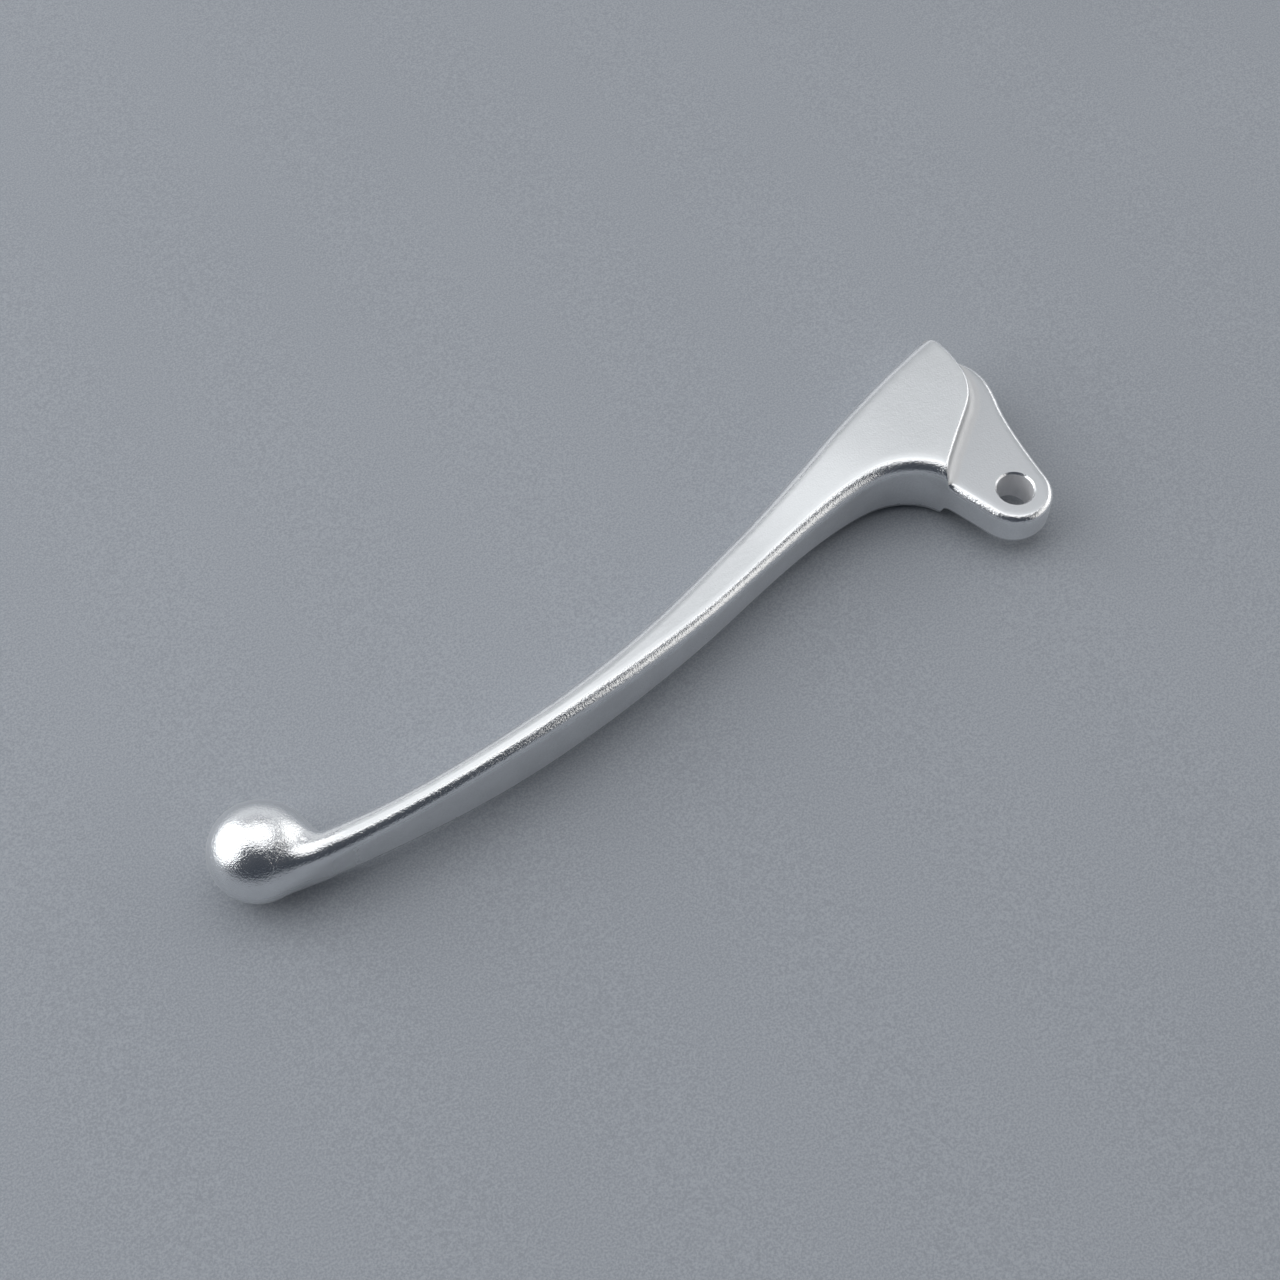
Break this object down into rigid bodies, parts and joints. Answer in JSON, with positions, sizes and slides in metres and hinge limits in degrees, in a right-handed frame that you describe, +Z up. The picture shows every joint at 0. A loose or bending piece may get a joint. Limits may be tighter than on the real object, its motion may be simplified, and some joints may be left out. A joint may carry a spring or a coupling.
{
  "type": "clutch lever",
  "caption": "Ball-end hand lever for a cable clutch on the left of a motorcycle handlebar, with a pivot hole in a flat tongue and a seat for the cable nipple.",
  "frame": {"origin": "centre of the pivot hole, half way through the tongue", "axes": "+Z up along the pivot, -X out along the lever to the ball, +Y to the front of the motorcycle, away from the handlebar"},
  "size_m": [0.1977, 0.0535, 0.0204],
  "materials": {
    "lever": "polished, with a satin tongue"
  },
  "bodies": {
    "root": {"lever": "lever"}
  },
  "joints": []
}
